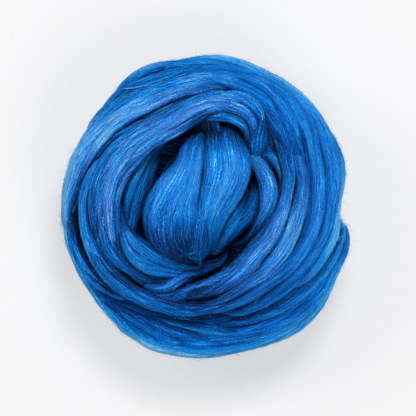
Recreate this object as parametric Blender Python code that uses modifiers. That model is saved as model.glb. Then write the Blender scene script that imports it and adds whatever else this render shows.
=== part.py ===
"""Wool roving: one continuous length of blue combed wool, wound loosely into a flattened ball.

The ball is about 145 x 151 mm across and 78 mm high. Its turns are laid out by hand as routes over a dome.
Each turn is a curve with an oval section, which leans with the dome so that its broad face looks outward.
The turns and the packed middle are fused into one solid by a voxel remesh, and a flat foot is cut under it.
Units are metres in Blender and millimetres in the tables. +Z is up, and the foot lies at z = 0.
"""

import math
from collections import namedtuple

import bmesh
import bpy
from mathutils import Matrix, Vector

MM = 0.001

# Driving dimensions, in millimetres.
BALL_HALF_X = 72.0
BALL_HALF_Y = 75.5
BALL_HEIGHT = 78.0
RIM_THICKNESS = 12.0
OUTLINE_MIDDLE_X = 0.9
OUTLINE_MIDDLE_Y = 0.3
# How far a turn reaches under its neighbours, as a share of the width that shows from above.
TUCKED_SHARE = 0.06

# Surface settings.
SECTION_SIDES = 20
CURVE_STEPS = 6
VOXEL = 1.5
SMOOTH_ROUNDS = 2
KEPT_SHARE = 0.11
CUTTER_SIDE = 300.0
CUTTER_DEPTH = 60.0

WOOL_BLUE = (0.012, 0.165, 0.545, 1.0)
WOOL_ROUGHNESS = 0.75

# A turn is a stretch of the roving. Its section is an oval, `flatness` times as thick as it is wide.
# A station has its place x, y, the height of the roving's upper side there (crown) and its width from above.
Turn = namedtuple("Turn", "name flatness stations")
Station = namedtuple("Station", "x y crown width")

TOP_TURNS = [
    Turn("bun_left", 0.85, [
        (-6, 35, 58, 7), (-8, 28, 69, 14), (-10, 21, 75, 17), (-13, 13, 77, 22), (-16, 5, 78, 25),
        (-17, -3, 76, 27), (-17, -12, 72, 26), (-14, -19, 65, 21), (-11, -26, 54, 11),
    ]),
    Turn("bun_right", 0.85, [
        (8, 36, 58, 10), (10, 29, 69, 20), (11, 22, 73, 23), (10, 14, 75, 23), (8, 6, 75, 21),
        (5, -2, 74, 19), (3, -9, 70, 15), (1, -16, 62, 12), (0, -23, 52, 8),
    ]),
    Turn("upper_left_band", 0.85, [
        (19, 52, 65, 10), (9, 51, 70, 14), (0, 49, 72, 15), (-15, 42, 73, 16),
        (-33, 31, 72, 18), (-46, 16, 69, 17), (-51, -1, 65, 14), (-50, -13, 61, 12), (-47, -22, 60, 10),
        (-41, -30, 57, 7), (-33, -35, 54, 4),
    ]),
    Turn("lower_left_crescent", 0.7, [
        (-43, -2, 58, 5), (-41, -14, 61, 11), (-33, -26, 60, 18), (-25, -29, 59, 15),
        (-16, -30, 56, 10), (-5, -30, 50, 4),
    ]),
    Turn("hooked_end", 0.8, [
        (8, 54, 66, 9), (17, 52, 67, 12), (24, 46, 64, 11), (27, 39, 61, 8), (27, 33, 60, 7),
        (23, 28, 57, 4),
    ]),
    Turn("outer_strand", 0.9, [
        (-53, 22, 60, 6), (-59, 9, 58, 7), (-61, -3, 57, 7), (-59, -14, 57, 8), (-54, -26, 57, 9),
        (-45, -37, 57, 11), (-32, -45, 57, 11), (-17, -51, 58, 9), (-1, -52, 60, 8), (12, -48, 59, 7),
        (23, -41, 57, 5),
    ]),
    Turn("left_band", 0.8, [
        (20, 62, 59, 10), (5, 65, 61, 14), (-9, 63, 61, 15), (-22, 58, 61, 16), (-34, 51, 61, 16),
        (-45, 44, 59, 15), (-53, 36, 57, 13), (-60, 26, 55, 12), (-65, 17, 52, 10), (-68, 5, 48, 8),
        (-69, -8, 43, 5),
    ]),
    Turn("top_left_lobe", 0.8, [
        (-60, 34, 43, 5), (-54, 44, 44, 8), (-44, 54, 44, 9), (-33, 62, 43, 9), (-20, 68, 42, 8),
        (-8, 71, 40, 6),
    ]),
    Turn("sheet_inner", 0.8, [
        (-5, 63, 60, 6), (10, 63, 62, 11), (21, 60, 62, 12), (30, 54, 62, 12), (38, 46, 62, 11),
        (44, 36, 61, 10), (49, 26, 60, 7), (51, 17, 58, 4),
    ]),
    Turn("sheet_middle", 0.85, [
        (-8, 68, 54, 6), (5, 69, 57, 11), (18, 66, 58, 11), (30, 60, 59, 11), (42, 50, 60, 11),
        (51, 38, 60, 11), (56, 24, 60, 11), (58, 8, 60, 11), (56, -4, 60, 11), (50, -17, 60, 11),
        (42, -30, 60, 10), (29, -42, 59, 9), (10, -50, 56, 6),
    ]),
    Turn("right_inner", 0.95, [
        (35, 42, 60, 3), (39, 32, 65, 6), (41, 18, 67, 7), (40, 5, 67, 7), (36, -8, 67, 9),
        (29, -19, 66, 12), (21, -30, 65, 12), (11, -38, 63, 10), (-1, -43, 60, 7), (-9, -45, 57, 4),
    ]),
    Turn("right_strand", 0.95, [
        (43, 32, 60, 3), (47, 19, 64, 6), (48, 6, 64, 7), (45, -7, 64, 7), (39, -20, 64, 8),
        (30, -33, 62, 8), (18, -43, 61, 7), (5, -48, 57, 5),
    ]),
    Turn("small_strip", 0.8, [(31, 45, 59, 4), (34, 38, 59, 7), (36, 31, 57, 7), (35, 25, 54, 5)]),
    Turn("inner_right", 0.9, [
        (21, 29, 58, 6), (28, 20, 63, 9), (32, 10, 64, 10), (31, 1, 64, 10), (27, -8, 62, 9),
        (22, -15, 57, 5),
    ]),
    Turn("tucked_strip", 0.8, [(28, 26, 57, 5), (33, 23, 60, 6), (37, 17, 60, 6), (38, 10, 57, 5)]),
    Turn("deep_right", 0.8, [(25, 9, 53, 8), (23, 0, 58, 10), (17, -10, 58, 11), (10, -19, 53, 8)]),
    Turn("deep_left", 0.75, [
        (-23, 29, 51, 5), (-28, 23, 55, 9), (-33, 15, 57, 12), (-36, 4, 58, 12), (-38, -8, 57, 9),
        (-37, -17, 52, 5),
    ]),
    Turn("bottom_twist_left", 0.8, [(-29, -38, 54, 5), (-20, -41, 56, 7), (-13, -36, 56, 7), (-4, -33, 52, 5)]),
    Turn("bottom_twist_right", 0.8, [(-20, -45, 54, 6), (-12, -42, 56, 8), (-3, -37, 56, 8), (5, -32, 54, 6)]),
    Turn("channel_strand", 0.9, [
        (-66, -8, 45, 5), (-63, -22, 45, 6), (-57, -33, 45, 6), (-46, -43, 46, 6), (-38, -48, 45, 5),
    ]),
    Turn("lower_sheet", 0.6, [
        (-56, -43, 38, 8), (-46, -53, 42, 12), (-31, -60, 44, 14), (-13, -63, 45, 15), (5, -63, 45, 15),
        (23, -60, 45, 14), (39, -53, 44, 13), (53, -42, 42, 12), (62, -28, 40, 10), (67, -12, 37, 6),
    ]),
]

# A rim turn stands on its edge round the side, where the ball is widest. `middle` is the height of its middle,
# and x, y lie on its outer face.
RimTurn = namedtuple("RimTurn", "name flatness stations")
RimStation = namedtuple("RimStation", "x y middle width")

RIM_TURNS = [
    RimTurn("rim_right", 0.55, [
        (-22, 69, 38, 14), (-6, 75, 39, 18), (12, 75, 40, 19), (30, 68, 40, 19), (45, 57, 40, 20),
        (58, 44, 41, 20), (67, 30, 42, 20), (70, 14, 42, 20), (69, -3, 42, 20), (66, -18, 44, 18),
        (58, -32, 46, 16), (47, -45, 48, 13), (33, -53, 49, 11), (18, -58, 49, 9),
    ]),
    RimTurn("rim_left", 0.5, [
        (-59, 37, 32, 14), (-66, 27, 33, 18), (-71, 14, 33, 20), (-72, 0, 32, 20), (-70, -15, 31, 20),
        (-66, -29, 31, 20), (-59, -42, 31, 20), (-49, -55, 31, 20), (-36, -66, 31, 20),
        (-20, -73, 31, 20), (0, -76, 31, 20), (20, -74, 31, 20), (38, -67, 31, 20), (52, -57, 31, 20),
        (62, -44, 30, 20), (68, -31, 29, 18), (71, -18, 29, 15), (69, -7, 29, 10),
    ]),
]

# Packed wool under the turns: flattened balls, and one ring that carries the turns round the open middle.
PackedBall = namedtuple("PackedBall", "x y bottom top half_x half_y")

PACKED_BALLS = [
    PackedBall(0, 0, -1, 40, 60, 63),
    PackedBall(-6, 1, 20, 63, 14, 25),
]
PACKED_RING_RADIUS = 48.0
PACKED_RING_HALF_WIDTH = 16.0
PACKED_RING_HEIGHT = 39.0

# Belly turns run once round the ball below its widest line, each a tilted ring.
BellyRing = namedtuple("BellyRing", "name half_x half_y height rise high_side width flatness")

BELLY_RINGS = [
    BellyRing("belly_upper", 66.0, 69.0, 27.0, 5.0, 200, 22.0, 0.5),
    BellyRing("belly_lower", 61.0, 64.0, 15.0, 4.0, 60, 22.0, 0.5),
    BellyRing("under_ring", 42.0, 45.0, 4.5, 1.0, 300, 24.0, 0.5),
]
RING_STATIONS = 12


def clear_scene():
    for old in list(bpy.data.objects):
        bpy.data.objects.remove(old)


def new_collection(name):
    collection = bpy.data.collections.new(name)
    bpy.context.scene.collection.children.link(collection)
    return collection


def dome_normal(x, y, z):
    """The outward direction of the flattened ball at a place, in millimetres."""
    half_z = BALL_HEIGHT / 2
    return Vector((x / BALL_HALF_X**2, y / BALL_HALF_Y**2, (z - half_z) / half_z**2)).normalized()


def seated_below(station, flatness):
    """The middle and half-width of a leaning oval section that has the station's crown, and its width from above."""
    middle = station.crown
    for _ in range(4):
        lean = dome_normal(station.x, station.y, middle)
        flat = math.hypot(lean.x, lean.y)
        seen_half = (1 + TUCKED_SHARE) * station.width / 2
        half_width = seen_half / math.hypot(lean.z, flatness * flat)
        middle = station.crown - half_width * math.hypot(flat, flatness * lean.z)
    return Vector((station.x, station.y, middle)), half_width


def seated_inside(station):
    """The middle of a rim section whose outer face touches the station."""
    place = Vector((station.x, station.y, 0.0))
    inward = place.normalized() * (RIM_THICKNESS / 2)
    return Vector((station.x - inward.x, station.y - inward.y, station.middle))


def ring_points(ring):
    """Points round one tilted belly ring, evenly by angle."""
    points = []
    for step in range(RING_STATIONS):
        angle = 2 * math.pi * step / RING_STATIONS
        height = ring.height + ring.rise * math.cos(angle - math.radians(ring.high_side))
        points.append(Vector((ring.half_x * math.cos(angle), ring.half_y * math.sin(angle), height)))
    return points


def leaning_tilts(points, cyclic):
    """The curve tilt at each point that turns the section's broad face along the dome."""
    tilts = []
    last = len(points) - 1
    for index, place in enumerate(points):
        before = points[index - 1] if cyclic or index else place
        after = points[(index + 1) % len(points)] if cyclic or index < last else place
        along = (after - before).normalized()
        side = along.cross(Vector((0, 0, 1))).normalized()
        up = side.cross(along)
        normal = dome_normal(*place)
        tilt = math.atan2(normal.dot(side), normal.dot(up))
        if tilts:
            # The oval looks the same after half a turn, so each tilt takes the value nearest the last one.
            tilt -= math.pi * round((tilt - tilts[-1]) / math.pi)
        tilts.append(tilt)
    return tilts


def oval_profile(flatness, collection):
    """A closed oval of half-width 1 mm, which a curve's radius scales to its turn's half-width."""
    curve = bpy.data.curves.new(f"oval_{flatness}", "CURVE")
    curve.dimensions = "2D"
    curve.resolution_u = 1
    spline = curve.splines.new("POLY")
    spline.points.add(SECTION_SIDES - 1)
    spline.use_cyclic_u = True
    for index, point in enumerate(spline.points):
        angle = 2 * math.pi * index / SECTION_SIDES
        point.co = (MM * math.cos(angle), MM * flatness * math.sin(angle), 0, 1)
    profile = bpy.data.objects.new(curve.name, curve)
    profile.hide_render = True
    collection.objects.link(profile)
    return profile


def turn_mesh(name, points, half_widths, flatness, cyclic, guides):
    """One turn as a closed mesh: a smooth curve through its stations with an oval bevel."""
    curve = bpy.data.curves.new(name, "CURVE")
    curve.dimensions = "3D"
    curve.twist_mode = "Z_UP"
    curve.bevel_mode = "OBJECT"
    curve.bevel_object = oval_profile(flatness, guides)
    curve.use_fill_caps = True
    curve.resolution_u = CURVE_STEPS
    spline = curve.splines.new("BEZIER")
    spline.bezier_points.add(len(points) - 1)
    spline.use_cyclic_u = cyclic
    tilts = leaning_tilts(points, cyclic)
    for knot, place, radius, tilt in zip(spline.bezier_points, points, half_widths, tilts):
        knot.co = place * MM
        knot.radius = radius
        knot.tilt = tilt
        knot.handle_left_type = "AUTO"
        knot.handle_right_type = "AUTO"
    holder = bpy.data.objects.new(name, curve)
    guides.objects.link(holder)
    bpy.context.view_layer.update()
    graph = bpy.context.evaluated_depsgraph_get()
    mesh = bpy.data.meshes.new_from_object(holder.evaluated_get(graph))
    bpy.data.objects.remove(holder)
    shape = bmesh.new()
    shape.from_mesh(mesh)
    bmesh.ops.remove_doubles(shape, verts=shape.verts, dist=0.00001)
    shape.to_mesh(mesh)
    shape.free()
    return mesh


def all_turn_meshes(guides):
    meshes = []
    for turn in TOP_TURNS:
        stations = [Station(*row) for row in turn.stations]
        seats = [seated_below(station, turn.flatness) for station in stations]
        points = [middle for middle, _ in seats]
        half_widths = [half_width for _, half_width in seats]
        meshes.append(turn_mesh(turn.name, points, half_widths, turn.flatness, False, guides))
    for turn in RIM_TURNS:
        stations = [RimStation(*row) for row in turn.stations]
        points = [seated_inside(station) for station in stations]
        half_widths = [station.width / 2 for station in stations]
        meshes.append(turn_mesh(turn.name, points, half_widths, turn.flatness, False, guides))
    for ring in BELLY_RINGS:
        points = ring_points(ring)
        half_widths = [ring.width / 2] * RING_STATIONS
        meshes.append(turn_mesh(ring.name, points, half_widths, ring.flatness, True, guides))
    return meshes


def add_packed_wool(shape):
    """The packed wool under the turns: the flattened balls and the ring."""
    for ball in PACKED_BALLS:
        made = bmesh.ops.create_uvsphere(shape, u_segments=48, v_segments=24, radius=1.0)
        half_height = (ball.top - ball.bottom) / 2
        size = (ball.half_x * MM, ball.half_y * MM, half_height * MM)
        bmesh.ops.scale(shape, vec=size, verts=made["verts"])
        middle = Vector((ball.x, ball.y, (ball.top + ball.bottom) / 2)) * MM
        bmesh.ops.translate(shape, vec=middle, verts=made["verts"])
    bpy.ops.mesh.primitive_torus_add(
        major_radius=PACKED_RING_RADIUS * MM,
        minor_radius=PACKED_RING_HALF_WIDTH * MM,
        location=(0, 0, 0),
    )
    ring = bpy.context.object
    ring.data.transform(Matrix.Translation((0, 0, PACKED_RING_HEIGHT * MM)))
    shape.from_mesh(ring.data)
    bpy.data.objects.remove(ring)


def foot_cutter(collection):
    """A block below z = 0, which takes off what would lie under the flat foot."""
    shape = bmesh.new()
    bmesh.ops.create_cube(shape, size=1.0)
    bmesh.ops.scale(shape, vec=(CUTTER_SIDE * MM, CUTTER_SIDE * MM, CUTTER_DEPTH * MM), verts=shape.verts)
    bmesh.ops.translate(shape, vec=(0, 0, -CUTTER_DEPTH / 2 * MM), verts=shape.verts)
    mesh = bpy.data.meshes.new("foot_cutter")
    shape.to_mesh(mesh)
    shape.free()
    cutter = bpy.data.objects.new("foot_cutter", mesh)
    cutter.hide_render = True
    cutter.display_type = "WIRE"
    collection.objects.link(cutter)
    return cutter


def wool_material():
    material = bpy.data.materials.new("dyed_wool")
    material.use_nodes = True
    shader = material.node_tree.nodes["Principled BSDF"]
    shader.inputs["Base Color"].default_value = WOOL_BLUE
    shader.inputs["Roughness"].default_value = WOOL_ROUGHNESS
    shader.inputs["Metallic"].default_value = 0.0
    return material


def wound_roving(parts, guides):
    """All turns and the core, fused, thinned to a few thousand faces and set down on a flat foot."""
    shape = bmesh.new()
    for mesh in all_turn_meshes(guides):
        shape.from_mesh(mesh)
        bpy.data.meshes.remove(mesh)
    add_packed_wool(shape)
    bmesh.ops.recalc_face_normals(shape, faces=shape.faces)
    mesh = bpy.data.meshes.new("wound_roving")
    shape.to_mesh(mesh)
    shape.free()
    mesh.materials.append(wool_material())
    roving = bpy.data.objects.new("wound_roving", mesh)
    # The origin is the middle of the foot, below the middle of the ball's outline.
    roving.location = (-OUTLINE_MIDDLE_X * MM, -OUTLINE_MIDDLE_Y * MM, 0)
    parts.objects.link(roving)
    fuse = roving.modifiers.new("fuse", "REMESH")
    fuse.mode = "VOXEL"
    fuse.voxel_size = VOXEL * MM
    fuse.use_smooth_shade = True
    soften = roving.modifiers.new("soften", "SMOOTH")
    soften.iterations = SMOOTH_ROUNDS
    thin = roving.modifiers.new("thin", "DECIMATE")
    thin.ratio = KEPT_SHARE
    cut = roving.modifiers.new("foot", "BOOLEAN")
    cut.operation = "DIFFERENCE"
    cut.solver = "EXACT"
    cut.object = foot_cutter(guides)
    return roving


clear_scene()
part_collection = new_collection("wool_roving")
guide_collection = new_collection("guides")
wound_roving(part_collection, guide_collection)
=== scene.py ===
"""Looks for a ball of blue combed wool roving, seen from straight above on a pale table.

Lengths are in millimetres until a mesh is filled. A place on the top is given in the photo's pixels, half a
millimetre each: x to the right, y down, and the height over the table in millimetres.
"""

import bpy
import numpy as np
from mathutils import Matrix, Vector


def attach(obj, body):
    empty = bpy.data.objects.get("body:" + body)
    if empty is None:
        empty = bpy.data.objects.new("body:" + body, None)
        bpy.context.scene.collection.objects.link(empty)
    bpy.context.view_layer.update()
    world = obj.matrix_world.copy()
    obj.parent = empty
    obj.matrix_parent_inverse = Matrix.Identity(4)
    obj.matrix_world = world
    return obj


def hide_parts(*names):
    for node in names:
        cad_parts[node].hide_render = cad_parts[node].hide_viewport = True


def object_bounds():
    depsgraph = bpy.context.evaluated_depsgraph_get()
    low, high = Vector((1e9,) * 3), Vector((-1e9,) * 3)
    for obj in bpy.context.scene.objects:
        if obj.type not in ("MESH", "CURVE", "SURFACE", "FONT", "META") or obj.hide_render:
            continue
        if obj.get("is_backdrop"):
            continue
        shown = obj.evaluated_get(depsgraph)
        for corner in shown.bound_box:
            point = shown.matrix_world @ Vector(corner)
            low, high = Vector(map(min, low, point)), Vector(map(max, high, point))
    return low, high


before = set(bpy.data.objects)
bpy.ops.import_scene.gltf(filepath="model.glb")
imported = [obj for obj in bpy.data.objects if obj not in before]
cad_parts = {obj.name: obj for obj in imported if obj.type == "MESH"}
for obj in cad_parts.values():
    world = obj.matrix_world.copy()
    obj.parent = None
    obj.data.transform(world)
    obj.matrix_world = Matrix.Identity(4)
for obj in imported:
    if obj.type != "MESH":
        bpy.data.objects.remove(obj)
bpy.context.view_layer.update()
NODE = "wound_roving"
MM = 0.001

# ---- Camera ----
# It looks straight down, from so far away that the ball shows almost no perspective.
PICTURE_SIDE = 416
MM_PER_PIXEL = 0.5
CAMERA_HEIGHT = 2000.0
SCALE_HEIGHT = 40.0
CAMERA_X, CAMERA_Y = 0.35, -1.3

camera_data = bpy.data.cameras.new("camera")
camera_data.sensor_width = 36.0
camera_data.lens = 36.0 * (CAMERA_HEIGHT - SCALE_HEIGHT) / (PICTURE_SIDE * MM_PER_PIXEL)
camera_data.clip_end = 20.0
camera = bpy.data.objects.new("camera", camera_data)
camera.location = (CAMERA_X * MM, CAMERA_Y * MM, CAMERA_HEIGHT * MM)
bpy.context.scene.collection.objects.link(camera)
bpy.context.scene.camera = camera
bpy.context.scene.view_settings.view_transform = "Standard"

# ---- The turns ----
# One length of roving, so every stretch of it is the same loose bundle of combed fibres: an oval section
# carried along its route and leaning with the dome. Its skin is raised into locks and finer strands that
# run along it, and its wool is streaked where lighter and darker fibres lie together.
# How much wider a turn is than what shows of it, the step along its skin, and the length of its tips.
TUCKED_SHARE, SKIN_STEP, TIP_LENGTH = 0.06, 1.7, 7.0
# How deep a turn goes under its neighbours at its ends, and how much of its width it keeps there.
DIVE, END_WIDTH = 7.0, 0.7
# How far the fibres twist round a turn, in millimetres for each millimetre along it.
TWIST = 0.03
# How far the fibres wander round a turn, and the length and width of a wave of it, in millimetres.
WANDERS = ((1.1, 26, 11), (0.35, 9, 5))
# Height, length and width of the bundles that raise the skin, in millimetres, and the power of their backs.
BUNDLES = ((1.3, 75, 6.0, 0.8), (0.65, 50, 2.3, 0.8), (0.4, 34, 1.1, 1.0))
CREASE_DEPTH = 1.6
# Painted shade: how much darker the wool is painted where a turn tucks under its neighbours. Painted light
# and
# shade: how much lighter it is painted for each millimetre that the skin is raised over its middle height,
# and darker in the creases below it.
PAINTED_FLANK_SHADE = 0.5
PAINTED_RAISED_LIGHT, SKIN_MIDDLE = 0.115, -0.7
# Painted light: how much lighter the wool is painted round the widest part, for the table's light that
# shines through the thin wool there.
PAINTED_EDGE_LIGHTS = (
    # side of the ball in degrees from the right, anticlockwise, and the painted light there
    (0, 0.75), (12, 0.2), (22, 0.0), (36, 0.0), (48, 1.05), (75, 1.05), (92, 0.1), (112, 0.0), (142, 0.0),
    (155, 0.4), (165, 0.8), (178, 0.85), (188, 0.3), (200, 0.25), (225, 0.55), (245, 0.45), (270, 0.3),
    (290, 0.2), (320, 0.1), (338, 0.12), (345, 0.0), (350, 0.05), (354, 0.65), (360, 0.75),
)
# The belt of that painted light: its height, how far it fades below and above, and the share of the ball's
# half width where it starts and over which it grows.
EDGE_HEIGHT, EDGE_BELOW, EDGE_ABOVE = 38.0, 4.5, 11.0
EDGE_START, EDGE_GROWTH = 0.93, 0.07
# No wool is brighter than this.
BRIGHTEST = 0.92
# How far the crimp carries a fibre to the side, in millimetres, over the noise from 0 to 1.
CRIMP = 1.3
# The flattened ball that the turns lie on: half sizes and middle.
BALL_HALF = np.array([72.0, 75.5, 39.0])
BALL_MIDDLE = np.array([-0.9, -0.3, 39.0])


def linear_colour(code):
    """An sRGB hex code as linear light, by the standard's curve of a straight foot and a power of 2.4."""
    shade = np.array([int(code[k:k + 2], 16) for k in (1, 3, 5)]) / 255
    line = np.where(shade <= 0.04045, shade / 12.92, ((shade + 0.055) / 1.055) ** 2.4)
    return (*line.tolist(), 1.0)


def fill(node, *operands, **values):
    """Fills a node's inputs in order, and settings or inputs by name, with values or sockets to link."""
    inputs = dict(enumerate(operands))
    for name, value in values.items():
        if hasattr(node, name):
            setattr(node, name, value)
        else:
            inputs[name.replace("_", " ")] = value
    for key, value in inputs.items():
        if isinstance(value, bpy.types.NodeSocket):
            node.id_data.links.new(value, node.inputs[key])
        else:
            node.inputs[key].default_value = value
    return node.outputs


def add_node(tree, kind, *operands, **values):
    """The outputs of a new shader node of this kind, filled with operands and values."""
    return fill(tree.nodes.new("ShaderNode" + kind), *operands, **values)


def new_material(name, code, roughness, **values):
    """A material whose Principled shader has this colour and roughness, and these other inputs by name."""
    material = bpy.data.materials.new(name)
    material.use_nodes = True
    shader = material.node_tree.nodes["Principled BSDF"]
    fill(shader, Base_Color=linear_colour(code), Roughness=roughness, **values)
    return material


def wool_fibre(name, code, roughness):
    """Wool fibre: dielectric keratin whose scales scatter light, so it has little gloss and a pale edge."""
    return new_material(
        name, code, roughness, Specular_IOR_Level=0.12, Specular_Tint=linear_colour("#64AEF2"),
        Sheen_Weight=0.3, Sheen_Roughness=0.4, Sheen_Tint=linear_colour("#1690E6"),
    )


def add_piece(name, points, corners, starts, material):
    """Fills a mesh from points in millimetres and faces as corner numbers, and ties it to the ball."""
    mesh = bpy.data.meshes.new(name)
    mesh.vertices.add(len(points))
    mesh.vertices.foreach_set("co", (points * MM).ravel())
    mesh.loops.add(len(corners))
    mesh.loops.foreach_set("vertex_index", corners)
    mesh.polygons.add(len(starts))
    mesh.polygons.foreach_set("loop_start", starts)
    mesh.polygons.foreach_set("use_smooth", np.full(len(starts), True))
    mesh.update(calc_edges=True)
    mesh.materials.append(material)
    piece = bpy.data.objects.new(name, mesh)
    bpy.context.scene.collection.objects.link(piece)
    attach(piece, "root")
    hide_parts(NODE)
    return piece


def ring_faces(rows, columns, closed=False):
    """Corner numbers and starts of a rows x columns grid whose columns close into rings.

    An open grid gets a many-sided face at each end, and a closed one joins its last row to its first.
    """
    row = columns * np.arange(rows if closed else rows - 1)[:, None]
    column = np.arange(columns)
    after, beside = (row + columns) % (rows * columns), (column + 1) % columns
    corners = np.stack([row + column, row + beside, after + beside, after + column], -1).ravel()
    starts = np.arange(0, len(corners), 4)
    if closed:
        return corners, starts
    ends = [column[::-1], column + (rows - 1) * columns]
    return np.concatenate([corners, *ends]), np.append(starts, [len(corners), len(corners) + columns])


def joined(shapes):
    """Points, corners and starts of several shapes as one."""
    points, corners, starts = zip(*shapes)
    first_point = np.cumsum([0] + [len(part) for part in points])
    first_corner = np.cumsum([0] + [len(part) for part in corners])
    corners = [part + first for part, first in zip(corners, first_point)]
    starts = [part + first for part, first in zip(starts, first_corner)]
    return np.concatenate(points), np.concatenate(corners), np.concatenate(starts)


def add_map(piece, name, values):
    """A UV map of this name with a value for every corner."""
    layer = piece.data.uv_layers.new(name=name)
    layer.uv.foreach_set("vector", values.astype(np.float32).ravel())


def dress(piece, lie, dye_and_painted_light):
    """Gives a piece its two maps: "lie" holds a value for every corner, and the dye map, brightness with
    painted light and shade, one for every point.
    """
    add_map(piece, "lie", lie)
    layer = piece.data.attributes.new("dye_and_painted_light", "FLOAT_VECTOR", "POINT")
    layer.data.foreach_set("vector", dye_and_painted_light.astype(np.float32).ravel())


def unit(vectors):
    """Each vector over its own length."""
    return vectors / np.maximum(np.linalg.norm(vectors, axis=-1, keepdims=True), 1e-9)


def smooth_route(rows, at, closed=False):
    """Values and slopes on the cubic through the rows, with its neighbours' chord for the slope at a row.

    rows are (x, y, z, ...) and at is a distance along their chords.
    """
    if closed:
        rows = np.concatenate([rows[-2:], rows, rows[:3]])
    knots = np.concatenate([[0], np.cumsum(np.linalg.norm(np.diff(rows[:, :3], axis=0), axis=1))])
    if closed:
        knots = knots - knots[2]
    slopes = np.gradient(rows, knots, axis=0)
    span = np.clip(np.searchsorted(knots, at, side="right") - 1, 0, len(knots) - 2)
    width = (knots[span + 1] - knots[span])[..., None]
    t = (at[..., None] - knots[span][..., None]) / width
    a, b, c, d = rows[span], rows[span + 1], slopes[span] * width, slopes[span + 1] * width
    value = a * (2 * t**3 - 3 * t**2 + 1) + c * (t**3 - 2 * t**2 + t)
    value = value + b * (3 * t**2 - 2 * t**3) + d * (t**3 - t**2)
    slope = (b - a) * (6 * t - 6 * t**2) + c * (3 * t**2 - 4 * t + 1) + d * (3 * t**2 - 2 * t)
    return value, slope / width


def dome_normal(places):
    """The outward direction of the flattened ball: each place divided by the half sizes squared."""
    return unit((places - BALL_MIDDLE) / BALL_HALF**2)


def ball_share(places):
    """How far out each place is, seen from above, as a share of the flattened ball's half width there."""
    out = (places[..., :2] - BALL_MIDDLE[:2]) / BALL_HALF[:2]
    return np.hypot(out[..., 0], out[..., 1])


def edge_light(places):
    """Painted light: how much lighter the wool is painted at each place, for the table's light through thin
    wool: a bell over the height, on the ball's outline only.
    """
    out = places - BALL_MIDDLE
    side = np.degrees(np.arctan2(out[..., 1], out[..., 0])) % 360
    light = np.interp(side, *np.array(PAINTED_EDGE_LIGHTS, float).T)
    above = places[..., 2] - EDGE_HEIGHT
    belt = np.exp(-(above / np.where(above < 0, EDGE_BELOW, EDGE_ABOVE)) ** 2)
    return light * belt * np.clip((ball_share(places) - EDGE_START) / EDGE_GROWTH, 0, 1)


def eased(part):
    """A share from 0 to 1 with level ends: the cubic 3 p^2 - 2 p^3."""
    return part * part * (3 - 2 * part)


def streaks(along, share, around, long_mm, wide_mm, seed, rows=64):
    """Smooth random values from -1 to 1 that are long_mm along the fibres and wide_mm across them.

    Each lock round the section has its own row of random values along it, and neighbours are blended.
    """
    rng = np.random.default_rng(seed)
    cells = max(3, int(round(around / wide_mm)))
    values = rng.uniform(-1, 1, (rows, cells))
    shifts = rng.uniform(0, rows, cells)
    place = (share % 1.0) * cells
    lock = np.floor(place).astype(int)
    blend = eased(place - lock)
    total = 0
    for step, weight in ((0, 1 - blend), (1, blend)):
        column = (lock + step) % cells
        far = along / long_mm + shifts[column]
        row = np.floor(far).astype(int)
        part = eased(far - row)
        near, after = values[row % rows, column], values[(row + 1) % rows, column]
        total = total + weight * (near * (1 - part) + after * part)
    return total


class Turn:
    """One stretch of roving: rows of its route (x, y, z, half width, brightness, lilac) and its flatness.

    grain is the contrast between its fibres, and shade how much darker its flanks are painted: painted
    shade.
    """

    def __init__(self, rows, flatness, seed, grain=1.0, shade=PAINTED_FLANK_SHADE, closed=False):
        self.rows, self.flatness, self.seed = rows, flatness, seed
        self.grain, self.shade, self.closed = grain, shade, closed
        ends = np.concatenate([rows, rows[:1]]) if closed else rows
        self.length = float(np.linalg.norm(np.diff(ends[:, :3], axis=0), axis=1).sum())
        self.around = 2 * np.pi * float(np.percentile(rows[:, 3], 70)) * np.sqrt((1 + flatness**2) / 2)

    def combed_share(self, along, share):
        """Where a fibre that passes here lies round the section: fibres twist slowly and wander."""
        wander = 0
        for number, (reach, *waves) in enumerate(WANDERS):
            wander = wander + reach * streaks(along, share, self.around, *waves, self.seed + 5 + number)
        return share + (wander + TWIST * along) / self.around

    def raised(self, along, share):
        """Height of the bundles over the plain oval, in millimetres: round backs that meet in creases."""
        combed = self.combed_share(along, share)
        height = 0
        for number, (rise, long_mm, wide_mm, power) in enumerate(BUNDLES):
            bundle = np.abs(streaks(along, combed, self.around, long_mm, wide_mm, self.seed + number))
            height = height + rise * bundle**power
        return height - CREASE_DEPTH

    def surface(self, along, share, lift=0.0):
        """Points on the skin, outward directions, raised heights, and the brightness (dye with painted
        shade and light) and lilac share.

        The section is an oval round the route, raised along its normal. It closes to a tip at open ends.
        """
        value, slope = smooth_route(self.rows, along, self.closed)
        place, half = value[..., :3], value[..., 3]
        forward = unit(slope[..., :3])
        side = unit(np.cross(forward, dome_normal(place)))
        up = np.cross(side, forward)
        angle = 2 * np.pi * share
        tip = 1.0
        if not self.closed:
            near = np.clip(np.minimum(along, self.length - along) / min(TIP_LENGTH, self.length / 3), 0, 1)
            tip = np.sqrt(np.maximum(1 - (1 - near) ** 2, 0.0004))
        wide = (half * tip)[..., None]
        across, tall = np.cos(angle)[..., None], np.sin(angle)[..., None]
        outward = unit(self.flatness * across * side + tall * up)
        height = self.raised(along, share) * tip
        level = (np.minimum(half / 4, 1) * height + lift * tip)[..., None]
        point = place + wide * (across * side + self.flatness * tall * up) + level * outward
        return point, outward, height, value[..., 4:6]


def picture_place(x, y, z):
    """Millimetres from photo pixels, for a point that high over the table, as the camera sees it."""
    scale = MM_PER_PIXEL * (CAMERA_HEIGHT - z) / (CAMERA_HEIGHT - SCALE_HEIGHT)
    middle = PICTURE_SIDE / 2
    return np.column_stack([CAMERA_X + (x - middle) * scale, CAMERA_Y + (middle - y) * scale])


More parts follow.
